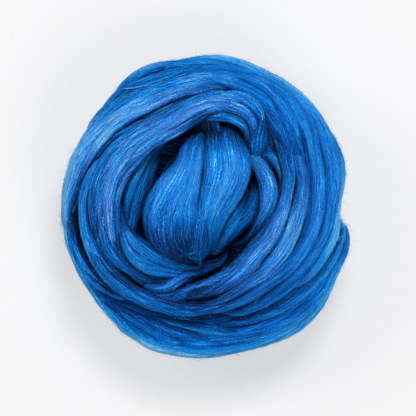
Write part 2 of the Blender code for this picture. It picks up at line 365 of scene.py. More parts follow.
def with_dye_and_painted_light(stations, dye_and_painted_light):
    """Stations with brightness and lilac for each, read off the pairs spread along the turn; the brightness
    is dye with painted shade and light.
    """
    pairs = np.reshape(dye_and_painted_light, (-1, 2))
    part, at = np.linspace(0, 1, len(stations)), np.linspace(0, 1, len(pairs))
    return np.column_stack([stations, np.interp(part, at, pairs[:, 0]), np.interp(part, at, pairs[:, 1])])


def seated(stations, flatness, dye_and_painted_light, sink=0.0, reach=8.0):
    """Route rows of a turn whose stations are x and y in the photo, crown height, and the width that shows.

    The section leans with the dome, so its true width is the seen width over the lean, and its middle lies
    below the crown by the height of a leaning oval. Both ends are lowered by sink millimetres, so that a
    strand rises gently out of the turn under it. Past them it goes on for reach millimetres and dives in.
    """
    stations = np.array(stations, float)
    stations[[0, -1], 2] -= sink
    stations[[1, -2], 2] -= 0.25 * sink
    flat_place = picture_place(*stations[:, :3].T)
    middle = stations[:, 2].copy()
    for _ in range(4):
        lean = dome_normal(np.column_stack([flat_place, middle]))
        flat = np.hypot(lean[:, 0], lean[:, 1])
        half = (1 + TUCKED_SHARE) * stations[:, 3] * MM_PER_PIXEL / 2
        half = half / np.hypot(lean[:, 2], flatness * flat)
        middle = stations[:, 2] - half * np.hypot(flat, flatness * lean[:, 2])
    rows = with_dye_and_painted_light(np.column_stack([flat_place, middle, half]), dye_and_painted_light)
    ends = rows[[0, -1]]
    ends[:, :3] += reach * unit(ends[:, :3] - rows[[1, -2], :3]) - DIVE * dome_normal(ends[:, :3])
    ends[:, 3] *= END_WIDTH
    return np.concatenate([ends[:1], rows, ends[1:]])


def combed_wool():
    """Dyed merino, combed so that its fibres lie side by side: fine bright and dark lines along the roving.

    The "lie" map holds millimetres along and across the fibres, and the dye attribute how bright the wool
    is, which is its dye with painted shade on flanks, in creases and in deep wool and painted light on
    raised bundles, thin edges and highlights, how lilac it is, and how much one fibre differs from the
    next. Gloss is low, because each fibre is scaly and they all scatter.
    """
    material = wool_fibre("combed_merino", "#1B7DDB", 0.6)
    tree = material.node_tree
    lie = add_node(tree, "UVMap", uv_map="lie")[0]
    dye_and_painted_light = add_node(tree, "Attribute", attribute_name="dye_and_painted_light")["Vector"]
    brightness, lilac, contrast = add_node(tree, "SeparateXYZ", dye_and_painted_light)

    def maths(operation, *operands, kind="Math"):
        """The result of one maths node."""
        return add_node(tree, kind, *operands, operation=operation)[0]

    def fibre_noise(long_mm, wide_mm, detail, place):
        """Noise drawn out along the fibres, from features this long and this wide."""
        laid = add_node(tree, "Mapping", place, Scale=(1 / long_mm, 1 / wide_mm, 1.0))[0]
        return add_node(tree, "TexNoise", laid, noise_dimensions="2D", Scale=1.0, Detail=detail)

    def weighted(total, noise, weight):
        """total + weight * (noise - 0.5)."""
        return maths("ADD", total, maths("MULTIPLY_ADD", noise, weight, -0.5 * weight))

    # Crimp: merino fibres wave from side to side every few millimetres, so the streaks do too.
    place = lie
    for long_mm, wide_mm, reach in ((6.0, 2.6, CRIMP), (2.4, 1.3, 0.35 * CRIMP)):
        wave = fibre_noise(long_mm, wide_mm, 2.0, lie)["Color"]
        wave = maths("SUBTRACT", wave, (0.5, 0.5, 0.5), kind="VectorMath")
        wave = maths("MULTIPLY", wave, (0.0, reach, 0.0), kind="VectorMath")
        place = maths("ADD", place, wave, kind="VectorMath")
    hair = fibre_noise(13, 0.34, 0.0, place)["Fac"]
    fine = fibre_noise(18, 0.85, 1.0, place)["Fac"]
    broad = fibre_noise(50, 3.0, 1.0, place)["Fac"]
    fuzz = fibre_noise(0.9, 0.4, 0.0, lie)["Fac"]
    streak = weighted(weighted(weighted(hair, fine, 0.6), broad, 0.12), fuzz, 0.65)
    streak = maths("MULTIPLY", maths("SUBTRACT", streak, 0.5), contrast)
    level = maths("MULTIPLY_ADD", streak, 1.05, brightness)
    level = add_node(tree, "MapRange", level, From_Min=-0.35, From_Max=1.1)[0]
    ramp = add_node(tree, "ValToRGB", level)[0]
    shades = (
        (0.0, "#0E1219"), (0.24, "#09204B"), (0.41, "#054A9B"), (0.59, "#0374C6"), (0.69, "#0A86CE"),
        (0.81, "#389DD2"), (0.93, "#7CBADA"),
    )
    elements = ramp.node.color_ramp.elements
    while len(elements) < len(shades):
        elements.new(0.5)
    for element, (position, code) in zip(elements, shades):
        element.position = position
        element.color = linear_colour(code)
    # Lilac: patches where the hue turns from blue towards violet and pales a little. Their share, set per
    # turn, is partly lilac fibre and partly a painted highlight where fibres run across the light.
    patch = fibre_noise(30, 1.6, 2.0, place)["Fac"]
    patch = add_node(tree, "MapRange", patch, From_Min=0.42, From_Max=0.68)[0]
    amount = maths("MULTIPLY", patch, lilac)
    hue = maths("MULTIPLY_ADD", amount, 0.045, 0.5)
    pale = maths("MULTIPLY_ADD", amount, -0.22, 1.0)
    dyed = add_node(tree, "HueSaturation", Color=ramp, Hue=hue, Saturation=pale)[0]
    bump = add_node(tree, "Bump", Height=weighted(fine, hair, 0.6), Strength=0.65, Distance=0.0007)[0]
    fill(tree.nodes["Principled BSDF"], Base_Color=dyed, Normal=bump)
    return material


COMBED_MERINO = combed_wool()
# How much a skin's columns crowd towards its outer side, and how far each turn's pattern is shifted.
CROWDING, PATTERN_SHIFT = 0.085, 613.7
# The margin of a turn's stripe on the bake map, as a share of it.
MAP_MARGIN = 0.01
turns = {}


def tone(turn, points, share, height, dye_and_painted_light):
    """The wool's brightness: its dye, with painted light where it is raised or at the thin edge, and
    painted shade on the flanks.
    """
    flank = 1 - np.clip(np.sin(2 * np.pi * share), 0, 1)
    painted_edge_light = edge_light(points)
    # Painted light on raised bundles and painted shade in the creases, then painted shade on the flanks,
    # faded where the painted edge light is.
    bright = dye_and_painted_light + PAINTED_RAISED_LIGHT * (height - SKIN_MIDDLE)
    bright = bright - turn.shade * flank**2 * np.clip(1 - 2 * painted_edge_light, 0, 1) + painted_edge_light
    return np.minimum(bright, BRIGHTEST)


def skin_of(turn, pitch):
    """Points, faces, both maps at the corners, and dye with painted light and shade of one turn's skin, a
    grid of steps by columns.
    """
    steps = max(10, int(turn.length / SKIN_STEP))
    columns = int(np.clip(turn.around / pitch, 36, 120))
    along = np.linspace(0, turn.length, steps, endpoint=not turn.closed)[:, None]
    part = np.arange(columns)[None, :] / columns
    share = -0.25 + part + CROWDING * np.sin(2 * np.pi * part)
    along, share, part = np.broadcast_arrays(along, share, part)
    points, _, height, dye_and_painted_light = turn.surface(along, share)
    points[..., 2] = np.maximum(points[..., 2], 0.0)
    corners, starts = ring_faces(steps, columns, turn.closed)
    lie = np.stack([along + PATTERN_SHIFT * turn.seed, turn.combed_share(along, share) * turn.around], -1)
    flat_map = np.stack([along / turn.length, part], -1)
    # Where the last row or column joins the first, that corner's place on the maps is one round further.
    face = np.arange(len(corners)) // 4
    again = (corners // columns == 0) & (face // columns == steps - 1)
    again = np.stack([again & turn.closed, (corners % columns == 0) & (face % columns == columns - 1)], -1)
    again[len(corners) if turn.closed else -2 * columns:] = False
    lie = lie.reshape(-1, 2)[corners] + again * (turn.length, turn.around)
    bright = tone(turn, points, share, height, dye_and_painted_light[..., 0])
    shades = np.stack([bright, dye_and_painted_light[..., 1], turn.grain + 0 * bright], -1).reshape(-1, 3)
    return points.reshape(-1, 3), corners, starts, lie, flat_map.reshape(-1, 2)[corners] + again, shades


def wind(name, named_turns, pitch=0.6):
    """One piece of several turns' skins, pitch millimetres between columns, each on a stripe of the map."""
    skins = [skin_of(turn, pitch) for turn in named_turns.values()]
    piece = add_piece(name, *joined([skin[:3] for skin in skins]), COMBED_MERINO)
    shares = np.array([turn.around for turn in named_turns.values()])
    edges = np.concatenate([[0], np.cumsum(shares / shares.sum())])
    stripes = []
    for skin, low, high in zip(skins, edges, edges[1:]):
        gap = 2 * MAP_MARGIN * (high - low)
        stripes.append(skin[4] * (1 - 2 * MAP_MARGIN, high - low - 2 * gap) + (MAP_MARGIN, low + gap))
    add_map(piece, "OFBake", np.concatenate(stripes))
    dress(piece, np.concatenate([skin[3] for skin in skins]), np.concatenate([skin[5] for skin in skins]))
    turns.update(named_turns)


def top_turns(table, seed, grain=1.0, shade=PAINTED_FLANK_SHADE):
    """Turns from rows of name, flatness, dye, stations and, where given, sink and reach."""
    made = {}
    for number, (name, flatness, dye_and_painted_light, stations, *ends) in enumerate(table):
        rows = seated(stations, flatness, dye_and_painted_light, *ends)
        made[name] = Turn(rows, flatness, seed + 10 * number, grain, shade)
    return made


# name, flatness, dye (brightness and share of lilac fibre, in pairs; the brightness is dye with painted
# shade where a turn lies in shade or dives under its neighbours and painted light where it catches light,
# and the lilac is partly painted highlight), stations (x, y, crown height, width), and for some turns sink
# and reach

# The bun in the middle: two lobes side by side, the highest wool, and a strand between their feet.
BUN = (
    ("bun_left", 0.85, (-0.1,0.1, 0.28,0.15, 0.6,0.2, 0.47,0.15, 0.06,0.1, -0.2,0.0), (
        (200,136,60,9), (196.5,142,65,17), (193,150,70,23), (189.5,164,75,27), (183,180,77.5,37.5),
        (175.5,196,78,48), (172,212,76.5,55), (172,229,72,52), (177,243,65,43), (182,254,56,33)), 0.0, 3.0),
    # bun_right's top is dyed dark: painted shade under the hook's arch.
    ("bun_right", 0.85, (-0.6,0.0, -0.6,0.0, -0.45,0.05, 0.1,0.1, 0.42,0.15, 0.5,0.2, 0.52,0.2, 0.54,0.15,
        0.53,0.1, 0.45,0.1, 0.3,0.05, 0.1,0.0), (
        (225,128,53,26), (222.5,133,58.5,32), (223,140,64.5,36), (224.5,148,70,41), (226,158,73,46),
        (226.5,170,74.7,47), (224.5,181,75,45), (220.5,193,74.5,42), (215,206,73.5,37), (211,220,70,30),
        (208.5,233,64.5,25), (207,245,57,20)), 0.0, 3.0),
    ("bun_middle", 0.85, (0.52,0.15, 0.12,0.1, 0.15,0.0), (
        (200,200,70,8), (199,212,71.5,24), (197,226,70,30), (196,240,65.5,28), (195,253,57,23)), 3.0, 3.0),
)
wind("bun", top_turns(BUN, 100, 0.9))

# The upper left band, which runs round the bun and hooks over its head at the right end.
UPPER_LEFT_BAND = (
    ("band_base", 0.8, (0.54,0.35, 0.57,0.45, 0.36,0.4), (
        (240,103,66,18), (225,103,68,21), (210,104,70,21), (196,109,71,22), (183,117,72,25),
        (170,125,72.5,27), (157,132,73,29), (146,139,73,31), (134,147,72.5,33), (122,158,71,35),
        (112,172,69.5,35), (106,187,67.5,33), (104,202,65.5,31), (105,217,63.5,29), (107,231,61,27),
        (110,246,57,22), (114,258,52,14))),
    ("band_outer", 0.85, (0.28,0.2, 0.4,0.2, -0.2,0.1), (
        (222,94,66,9), (203,98,69,11), (184,107,70.5,12), (160,120,71.5,13), (136,134,71,13),
        (116,149,69.5,13), (103,164,67.5,13), (96,180,65.5,12), (94,197,63.5,12), (95,213,61.5,12),
        (98,229,59,11), (103,244,55,8)), 2.5),
    ("band_middle", 0.85, (0.56,0.5, 0.5,0.6), (
        (226,101,69,10), (208,103,71.5,13), (190,111,73,14), (168,124,74,15), (146,137,74,16),
        (129,151,73,17), (117,167,71,16), (110,185,69,15), (108,203,67,14), (109,220,64.5,13),
        (111,236,61,11), (114,250,56,8)), 2.5),
    ("band_inner", 0.85, (0.05,0.0, 0.4,0.2, 0.45,0.3, 0.38,0.3), (
        (212,110,66,8), (203,115,68.5,12), (193,120.5,70,14), (181,128,71,15), (169,135,71.5,15),
        (157,142,71.3,14), (146,150,71,14), (136,160,70,14), (127,171,68.5,14), (120,184,67,13),
        (116,198,65,13), (115,212,63,12), (117,227,60,9), (120,239,57,6)), 1.5),
    ("band_tail", 0.8, (0.25,0.2, 0.37,0.1, 0.05,0.0), (
        (104,215,61,12), (106,232,61,19), (110,247,60,20), (117,259,58.5,16), (127,268,57.5,12),
        (139,276,57,9), (151,282,55,6)), 1.5),
    ("hook_outer", 0.8, (0.42,0.3, 0.38,0.2, 0.08,0.0, -0.2,0.0), (
        (222,97,66,12), (238,98,67.5,15), (250,104,67,16), (259,114,65,16), (262,126,62,15),
        (260,137,58,13), (256,146,53.5,9)), 1.5, 4.0),
    ("hook_middle", 0.8, (0.45,0.3, 0.32,0.2, -0.38,0.0), (
        (214,105,68,11), (230,106,69.5,14), (243,111,68.5,15), (251,120,66,14), (254,131,63,13),
        (252,142,58.5,12), (248,150,54,8)), 1.5, 4.0),
    ("hook_inner", 0.8, (0.25,0.1, 0.42,0.1, -0.1,0.0), (
        (205,119,62,7), (215,117,65.5,11), (228,117,67,13), (239,121,66,13), (246.5,129,63,12),
        (249,139,60.5,10), (247,148,57,7))),
    # arch_shade and arch_bridge, and the ends of the hooks, are dyed dark: painted shade under the arch.
    ("arch_shade", 0.8, (-0.35,0.0, -0.3,0.0), (
        (203,113,62,7), (205,119,63.5,11), (207,125.5,62,12), (208,132,58,8)), 0.0, 3.0),
    ("arch_bridge", 0.8, (-0.2,0.0, 0.0,0.0, 0.05,0.0), (
        (211,117,63,6), (215,122.5,64.5,9), (217.5,129,63,9), (219,136,60,8)), 0.0, 3.0),
)
wind("upper_left_band", top_turns(UPPER_LEFT_BAND, 200, 1.15))

# The outer left band, one step lower, and the lobe that rises over the upper left edge.
OUTER_LEFT_BAND = (
    ("left_base", 0.8, (0.45,0.2, 0.68,0.3, 0.7,0.2), (
        (250,85,57,14), (234,82,58.5,18), (215,82,60,21), (195,85,61,25), (175,91,61,29), (155,99,61,32),
        (135,109,61,34), (118,120,60,34), (103,133,58.5,32), (91,148,56.5,28), (82,164,54,25),
        (76,181,51.5,22), (71,196,49,18), (68,211,46,13), (68,226,43,8))),
    ("left_cyan", 0.85, (0.5,0.1, 0.35,0.05, 0.82,0.05, 0.7,0.05), (
        (222,73,56,7), (200,76,58,11), (178,81,58.5,13), (155,89,58.5,14), (133,99,58,14), (114,111,57,14),
        (99,124,55,13), (88,142,52.5,12), (77.5,157,50,12), (71,174,47,11), (67,192,44,9), (65,209,41,8),
        (66,226,38,6)), 2.5),
    ("left_lilac", 0.85, (0.55,0.5, 0.6,0.6, 0.84,0.8, 0.1,0.3), (
        (222,84,59.5,8), (203,85,61,12), (180,92,62.5,14), (156,102,63,15), (133,114,63,15),
        (114,127,61.5,14), (100,142,59,13), (90,158,56.5,12), (82,175,54,10), (77,191,51,7)), 2.5),
    ("left_inner", 0.85, (0.52,0.15, 0.38,0.1, 0.15,0.1), (
        (218,88,57,6), (200,93,58.5,10), (178,101,59.5,11), (155,112,60,12), (133,124,59.5,12),
        (114,136,58,11), (101,149,56.5,10), (91,163,55,9), (84,179,52.5,7)), 2.5),
    ("lobe_outer", 0.8, (0.42,0.0, 0.64,0.0, 0.08,0.0), (
        (114,101,38,5), (120,93,42,12), (131,83,44.5,15), (145,74.5,46,16), (160,69,47,15),
        (178,65.5,47,11), (196,63,46,6)), 0.0, 4.0),
    ("lobe_inner", 0.8, (0.3,0.05, 0.23,0.05), (
        (103,117,42,6), (113.5,105.5,46.5,13), (127,93,49.5,14), (145,84,51,14), (165,76,52.5,13),
        (185,71,53,11), (203,68,53,7)), 0.0, 4.0),
    ("lobe_lower", 0.8, (0.36,0.0, 0.4,0.0), (
        (88,138,43,6), (93,127,46,12), (102,115,48,14), (114,105,49,13), (129,96,49,8)), 0.0, 4.0),
    ("lobe_edge", 0.9, (0.45,0.1, 0.45,0.1), (
        (119,92,48,2), (135,88,51.5,3), (150,84,52.5,3.5), (166,78,54,3.5), (184,73,55,3)), 2.5, 4.0),
)
wind("outer_left_band", top_turns(OUTER_LEFT_BAND, 300, 1.05))

# The right sheet: broad flat turns that sweep down the whole right side.
RIGHT_SHEET = (
    ("sheet_outer", 0.75, (0.52,0.05, 0.43,0.15, 0.3,0.1), (
        (168,67,47,8), (190,64,49.5,14), (214,63,51,17), (237,68,52.5,20), (257,77,53.5,20),
        (275,87,54.5,22), (292,99,55,22), (307,114,55,22), (318,130,55,21), (324,147,56,24),
        (328.5,165,55.5,24), (329.5,184,55,23), (328.5,202,55.5,22), (327,219,56,20), (322,236,56,19),
        (313,253,57,18), (302,269,57.5,17), (288,284,57.5,15), (272,297,57,12), (254,307,56,9),
        (236,313,53,6))),
    ("sheet_middle", 0.8, (0.39,0.05, 0.44,0.25, 0.36,0.15), (
        (185,72,54,8), (208,72,56.5,14), (230,75,58.5,18), (252,80,60,20), (272,89,60.5,22),
        (289,102,61,22), (301,118,61,20), (309,135,61,17), (313,153,60.5,16), (316,172,60,16),
        (317,192,60,17), (317,212,60.5,16), (312,231,61,16), (303,251,61,15), (290,268,61,16),
        (272,282,60.5,15), (254,295,59.5,13), (234,305,58,10), (213,311,55,6))),
    ("sheet_point", 0.75, (0.5,0.1, 0.2,0.05, 0.3,0.05), (
        (212,80,59,8), (234,84,61,14), (252,91,62.5,20), (266,102,64,25), (276,115,65,28), (284,129,65,28),
        (291.5,142,64,21), (299,153,61.5,12), (304,164,56,6))),
    ("sheet_streak", 0.85, (0.41,0.1, 0.42,0.1, 0.38,0.1), (
        (238,77,61,6), (258,83,63,10), (274,94,64.3,13), (285,108,64.3,14), (292,124,63,13),
        (297,140,61.5,9), (301,153,59,5)), 2.5),
    ("sheet_rim", 0.85, (0.3,0.05, 0.25,0.05, 0.66,0.15, 0.85,0.15, 0.35,0.1), (
        (262,75,49,7), (280,83,49.5,11), (296,98,50,12), (310.5,113,50,12), (323,129,49.5,12),
        (334,147,48.5,12), (340,165,47.5,11), (340,184,47,10), (337,202,48,8.5), (335.5,219,50,9),
        (333.5,236,52,11), (326,252,54.5,10), (315,268,56.5,9), (301,282,57,7)), 2.5),
)
wind("right_sheet", top_turns(RIGHT_SHEET, 400, 0.8, 0.3))

# The inner right: two strips inside that sheet, a fold, and the curls round the bun's right.
INNER_RIGHT = (
    ("second_strip", 0.85, (0.14,0.1, 0.69,0.5, 0.17,0.2), (
        (289,140,56,6), (295,151,60,11), (299.5,164,62.5,15), (302.5,180,63,14), (302,197,63,15),
        (298,213,63,19), (292,229,63,21), (284,246,63,22), (273,261.5,63,21), (260,275,62.5,19),
        (244,286,62,15), (228,296,60,11), (211,303,57,6))),
    ("first_strip", 0.85, (-0.06,0.05, 0.25,0.0, 0.62,0.4, 0.43,0.5, -0.1,0.2), (
        (270,116,58,5), (274.5,127,60.5,12), (279,139,62,17), (284,152,64,18), (287.5,166,66,16),
        (288.5,182,67,15), (286,199,67,15), (280.5,216,67.5,16), (272,233,68,18), (261,248,67.5,19),
        (249,263,67,20), (235,276,66,19), (220,286,64,16), (204,292,61,12), (188,296,57,7))),
    ("first_inner", 0.85, (0.32,0.2, 0.32,0.3, 0.44,0.2), (
        (278,206,60,6), (272.5,221,64,12), (264,236,66,15), (253.5,250,66,16), (242,263.5,65.5,16),
        (228,275,64.5,15), (212,282,62.5,12), (197,287,58,7))),
    ("navy_fold", 0.8, (0.0,0.0, -0.05,0.0, 0.3,0.0), (
        (270,121,57.5,7), (273,132,60.5,14), (275,143,61,18), (274,153,59.5,18),
        (270,164,55,12)), 0.0, 4.0),
    ("crossing_patch", 0.7, (0.05,0.0, 0.08,0.0, 0.24,0.0), (
        (265,114,62,7), (263,123,64.3,11), (261,133,64.6,16), (259,143,63.5,19),
        (258,151,61,15)), 0.0, 3.0),
    ("curl_outer", 0.85, (0.4,0.25, 0.5,0.2, -0.15,0.0), (
        (248,150,57,9), (256,159,60.5,15), (263,171,63,18), (268,184,64,20), (269,198,64,20),
        (266,211,63,17), (260,223,61.5,14), (252,234,58.5,10), (244,241,55,6))),
    ("curl_small", 0.8, (-0.25,0.0, 0.37,0.1, 0.85,0.1), (
        (259,155,57,7), (267.5,155,61,11), (275.5,159,62,13), (281,168,61,12), (282,180,57,7))),
)
wind("inner_right_turns", top_turns(INNER_RIGHT, 500, 1.15))

# Deep wool, seen at the bottom of the gaps between turns, and the twist under the crescent.
DEEP_WOOL = (
    ("deep_right", 0.8, (0.14,0.0, 0.22,0.0, 0.16,0.0), (
        (257,190,54,14), (254,202,57,18), (248,214,58,21), (238,224,58,20), (228,235,57,18),
        (220.5,244,54,13), (215.5,252,50,8)), 0.0, 4.0),
    ("deep_right_strand", 0.85, (-0.1,0.0, 0.5,0.05, 0.36,0.0), (
        (246,199,57,8), (239,212,60,12), (231,224,60,12), (223,237,57,8)), 2.5),
    ("deep_left", 0.75, (0.56,0.05, 0.42,0.05, 0.25,0.0), (
        (158,148,52,9), (150,159,55,17), (141,174,57,25), (136,190,58,25), (132,206,58,22), (130,220,57,17),
        (131,233,54,10)), 0.0, 4.0),
    ("deep_left_strand", 0.8, (0.8,0.1, 0.5,0.1, -0.02,0.0), (
        (152,152,56,7), (142,166,59.5,11), (133,183,60.5,12), (128,201,60.5,11), (127,218,58,7)), 1.5),
    ("twist_upper", 0.8, (0.14,0.1, 0.44,0.2, 0.0,0.1), (
        (146,284,53,8), (156,288,56,12), (167,287,57,12), (177,280,57,11), (187,275,56,10),
        (198,273,53,6)), 0.0, 3.0),
    ("twist_lower", 0.8, (0.18,0.1, 0.37,0.1), (
        (150,294,53,8), (164,298,56,12), (179,295,57.5,13), (193,290,58,12), (206,284,58,11),
        (219,278,56,7)), 0.0, 4.0),
    ("under_twist", 0.8, (0.85,0.0, 0.5,0.0, 0.14,0.0), (
        (128,262,46,12), (138,272,49,18), (152,279,50,20), (168,280,50,20), (186,275,49,16),
        (204,268,47,14), (222,260,45,10)), 0.0, 4.0),
    ("lower_valley", 0.8, (0.42,0.0, 0.28,0.0, 0.2,0.0), (
        (112,296,40,10), (134,306,43,14), (160,314,44.5,17), (184,318,45.5,18), (208,318,46.5,18),
        (230,315,47,17), (252,309,47.5,14), (270,300,46.5,9)), 0.0, 4.0),
)
wind("deep_turns", top_turns(DEEP_WOOL, 600, 0.9))

# The lower left: the crescent under the bun, the outer ring, and the channel and rim outside it.
LOWER_LEFT = (
    ("crescent", 0.75, (0.06,0.1, 0.55,0.1, 0.1,0.0), (
        (121,213,57,7), (123.5,226,60,13), (129,239.5,61,21.5), (139,251,61,29), (152,260,60.5,30),
        (166,266,59.5,23), (181,269.5,57,15), (196,269,52,7))),
    ("crescent_top", 0.85, (0.45,0.2, 0.4,0.1, 0.1,0.0), (
        (125,227,60.5,5), (132,239,63,10), (144,250,63.5,13), (159,259,62,12), (175,265,59.5,8),
        (190,268,55,4)), 2.5),
    ("outer_ring", 0.85, (0.47,0.05, 0.54,0.1, 0.28,0.1, 0.0,0.1), (
        (98,163,60,6), (90,178,59.5,11), (84.5,195,58.5,12), (83.5,212,57.5,12), (85.5,230,57,13),
        (91.5,248,57,15), (101.5,265,57,18), (115,280,57,19), (131,291.5,57,19), (149,300,57,18.5),
        (167,306,57,17), (186,309,57,16), (204,308,57,15), (222,303,57,14), (240,296,56.5,11),
        (254,288,54,6))),
    ("outer_ring_light", 0.9, (0.12,0.1, 0.4,0.1, 0.42,0.1), (
        (87,236,56.5,4), (93.5,254,57.5,7), (105,271,58,8), (121,286,58,8), (139,297,58,8),
        (157,305,57.5,5)), 2.5),
    ("channel_floor", 0.7, (0.2,0.0, 0.4,0.0, 0.6,0.0), (
        (77,178,37,9), (75,198,40,14), (76,220,42,18), (81,243,43.5,19), (89,262,45.5,18),
        (100,279,45.5,16), (111,290,44,12), (121,297,42,7))),
    ("channel_strand", 0.85, (-0.1,0.0, 0.2,0.0, 0.6,0.0, 0.4,0.0), (
        (72,205,43,8), (73,222,45,11), (76.5,240,45.5,12), (82,257,47.5,12), (90,271,48,12),
        (100,282,47.5,11), (109,290,46,8), (117,295,44,4))),
    ("channel_light", 0.85, (0.5,0.05, 0.42,0.05, 0.32,0.05), (
        (74,254,42,3), (80,266,45.5,6), (88,277,49,7), (98,285.5,49,7), (107,291,47.5,5.5),
        (115,295,45,3)), 1.5),
    ("rim_strip", 0.8, (0.6,0.05, 0.48,0.05, 0.45,0.05), (
        (83,147,38,6), (75,160,39.5,9), (69,178,40,9), (66,198,40,8.5), (67,220,40,8.5), (71,244,40,9),
        (79,263,40,10), (85.5,276,40,11), (93,289,40.5,11), (101,301.5,41,12), (110,312.5,41.5,12),
        (121,323,42,12), (133.5,332,42,12), (146,339.5,41.5,11), (160,345,40.5,10),
        (180,349,38,6)), 2.0, 4.0),
)
wind("lower_left_turns", top_turns(LOWER_LEFT, 700, 0.95))

# The lower sheet: the fan of turns across the bottom, with its bulge at the lower right.
LOWER_SHEET = (
    ("lower_base", 0.6, (0.36,0.0, 0.64,0.0, 0.6,0.05, 0.38,0.1), (
        (112,303,38,12), (121,312,42,20), (135,321,43.5,28), (152,331,44,34), (178,337,44.5,36),
        (205,339,45,38), (230,336,45,38), (255,330,45,38), (278,320,44.5,37), (298,305,44,35),
        (315,287,43,30), (327,268,41.5,24), (339,249,39.5,18), (342,233,37,11), (339,222,33,5)), 0.0, 3.0),
    ("lower_upper", 0.75, (0.6,0.1, 0.46,0.1, 0.16,0.0), (
        (342,228,42,7), (334,252,44,13), (318,274,46,16), (300,291,47,17), (278,306,47,17), (253,316,47,15),
        (226,321,46,13), (199,323,44,8)), 2.5),
    ("lower_bulge", 0.8, (0.3,0.05, 0.38,0.05), (
        (339,222,33,5), (344,231,35,9), (344,246,37,12), (337,262,38,13), (327,277,38.5,12),
        (317,291,38,9)), 0.0, 3.0),
    ("lower_middle", 0.7, (0.43,0.1, 0.66,0.1, 0.6,0.1), (
        (329,279,41,6), (318,296,44,14), (300,314,45.3,18), (275,328,46,20), (248,336,46,20),
        (222,341,45.5,17), (196,344,43.5,12), (175,342,41,7)), 2.5, 4.0),
    ("fan_outer", 0.75, (0.15,0.0, 0.23,0.05, 0.42,0.05), (
        (99,297,41.5,6), (112,312,43.5,11), (126,325,44,12), (141,336,43,10), (156,345,40.5,6)), 2.0),
    ("fan_low", 0.75, (0.56,0.0, 0.2,0.0, 0.22,0.05), (
        (104,299,42.5,6), (121,315,44.8,12), (140,329,45.3,14), (160,341,43.5,11), (177,348,41,6)), 2.0),
    ("fan_middle", 0.75, (0.32,0.0, 0.38,0.0, 0.6,0.05), (
        (111,302,43,6), (132,317,45.8,13), (156,331,46.2,15), (182,342,44.5,12), (204,348,41.5,6)), 2.0),
    ("fan_high", 0.75, (0.55,0.0, 0.28,0.0, 0.5,0.05), (
        (124,310,43,6), (148,321,46,13), (175,331,46.8,15), (203,339,46,13), (232,343,43,7)), 2.0),
    ("fan_top", 0.75, (0.78,0.0, 0.53,0.0, 0.42,0.05), (
        (140,314,43,5), (164,322,46,10), (190,327,47,13), (218,331,46.5,13), (246,331,44,8)), 2.0),
    ("lower_rim", 0.8, (0.6,0.0, 0.62,0.0), (
        (120,326,35,6), (138,337,37,10), (164,347,38.5,12), (200,351,39,13), (235,347,39,13),
        (268,340,38.5,13), (295,328,38,13), (314,311,37,11), (327,292,35,6))),
)
wind("lower_sheet", top_turns(LOWER_SHEET, 800, 0.8, 0.4))

# ---- Rim and belly turns ----
# They are the same roving, stand on edge round the side, where the ball is widest, and roll under it: ovals
# that follow the outline.
RIM_THICKNESS = 12.0
# name, flatness, dye (brightness, lightened as painted light, and lilac), stations (x, y in the photo of
# the outer face, height of the middle, width)
RIM_TURNS = (
    ("rim_right", 0.55, (0.45,0.05, 0.4,0.05), (
        (165,66,37,26), (182,62,37,32), (205,59,38,36), (229,61,38,38), (247,67.5,38,38), (265,75.5,39,38),
        (281,83,39,38), (293,95,39,40), (307.5,109,39,40), (319,123,39,40), (331,139,39,40),
        (341,159,39,40), (342,180,39,40), (338,201,40,40), (333,221,42,36), (325,243,43,34),
        (313,262,45,30), (298,280,47,26), (279,297,48,22), (255,311,49,18))),
    ("rim_left", 0.5, (0.7,0.05, 0.65,0.05), (
        (114,128,28,14), (95,137,29,24), (86,146,30,30), (78,157,31,36), (70,172,32,40), (65,188,32,40),
        (63,203,31,40), (64,220,31,40), (67.5,243,31,40), (76.5,268,31,40), (91.5,294,31,40),
        (115,318,31,40), (141,340,31,40), (162,349,31,40), (184,354,31,40), (206,356,31,40),
        (230,353,31,40), (254,347,31,40), (280,338,31,40), (303,323,31,40), (321,303,31,38),
        (330,283,30,36), (335,262,29,34), (335,242,28,28), (328,222,27,22), (316,205,26,12))),
)
rims = {}
for number, (name, flatness, dye_and_painted_light, stations) in enumerate(RIM_TURNS):
    table = np.array(stations, float)
    outer_face = picture_place(*table[:, :3].T)
    place = outer_face - unit(outer_face) * RIM_THICKNESS / 2
    rows = with_dye_and_painted_light(np.column_stack([place, table[:, 2], table[:, 3] * MM_PER_PIXEL / 2]), dye_and_painted_light)
    rims[name] = Turn(rows, flatness, 900 + 10 * number, 0.7)
wind("rim_turns", rims, 0.7)

# The ball's outline in the photo, anticlockwise from the right.
OUTLINE = (
    (340, 206), (340, 146), (304, 97), (252, 64), (190, 58), (130, 75), (90, 122), (65, 176), (64, 236),
    (88, 292), (130, 337), (190, 357), (252, 348), (309, 321), (340, 267),
)
# name, inset from the outline, height, rise, side of the rise in degrees, width, flatness
BELLY_RINGS = (
    ("belly_upper", 9.0, 26.0, 5.0, 200, 22.0, 0.5),
    ("belly_lower", 13.0, 15.0, 4.0, 60, 22.0, 0.5),
    ("under_ring", 31.0, 4.5, 1.0, 300, 24.0, 0.5),
)
bellies = {}
outline_x, outline_y = np.array(OUTLINE, float).T
for number, (name, inset, height, rise, high_side, width, flatness) in enumerate(BELLY_RINGS):
    edge = picture_place(outline_x, outline_y, height)
    edge = edge - inset * unit(edge)
    angle = np.arctan2(edge[:, 1], edge[:, 0])
    middle = height + rise * np.cos(angle - np.radians(high_side))
    rows = with_dye_and_painted_light(np.column_stack([edge, middle, np.full(len(edge), width / 2)]), (0.42, 0.05))
    bellies[name] = Turn(rows, flatness, 950 + 10 * number, closed=True)
wind("belly_turns", bellies, 1.2)

